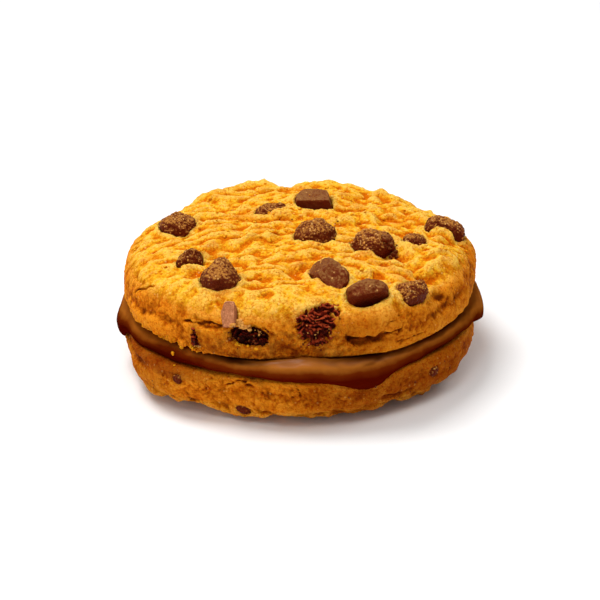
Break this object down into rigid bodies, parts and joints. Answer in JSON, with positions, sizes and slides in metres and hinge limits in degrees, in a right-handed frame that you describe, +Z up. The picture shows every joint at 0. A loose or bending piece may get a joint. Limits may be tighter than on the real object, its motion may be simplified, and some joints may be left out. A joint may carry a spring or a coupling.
{
  "type": "chocolate chip cookie sandwich",
  "caption": "Round cookie sandwich: craggy, chip-studded cookies lie base to base on a layer of chocolate cream that bulges out at the rim.",
  "frame": {"origin": "middle of the flat that the sandwich rests on", "axes": "+Z up through the thickness; the side seen in the picture faces -Y; +X is its right"},
  "size_m": [0.076, 0.0747, 0.0303],
  "materials": {
    "cookie_crust": "baked, craggy and grainy, golden on the crown and browner on the sides",
    "chocolate_cream": "smooth satin milk chocolate cream",
    "chocolate_chip": "dark chocolate with a dull greyish bloom and pale crumbs",
    "pale_chocolate": "pale cut face of a chocolate piece"
  },
  "bodies": {
    "root": {"top_cookie": "cookie_crust", "bottom_cookie": "cookie_crust", "filling": "chocolate_cream", "chip_crown_01": "chocolate_chip", "chip_crown_02": "chocolate_chip", "chip_crown_03": "chocolate_chip", "chip_crown_04": "chocolate_chip", "chip_crown_05": "chocolate_chip", "chip_crown_06": "chocolate_chip", "chip_crown_07": "chocolate_chip", "chip_crown_08": "chocolate_chip", "chip_crown_09": "chocolate_chip", "chip_crown_10": "chocolate_chip", "chip_crown_11": "chocolate_chip", "chip_crown_12": "chocolate_chip", "chip_front_01": "chocolate_chip", "chip_front_02": "pale_chocolate", "chip_front_03": "chocolate_chip", "chip_front_04": "chocolate_chip", "chip_back_01": "chocolate_chip", "chip_back_02": "chocolate_chip", "chip_back_03": "chocolate_chip", "chip_back_04": "chocolate_chip", "chip_low_01": "chocolate_chip", "chip_low_02": "chocolate_chip", "chip_low_03": "chocolate_chip", "chip_low_04": "chocolate_chip", "chip_low_05": "chocolate_chip", "chip_low_06": "chocolate_chip", "chip_under_01": "chocolate_chip", "chip_under_02": "chocolate_chip", "chip_under_03": "chocolate_chip", "chip_under_04": "chocolate_chip", "chip_under_05": "chocolate_chip", "chip_under_06": "chocolate_chip", "chip_under_07": "chocolate_chip"}
  },
  "joints": []
}
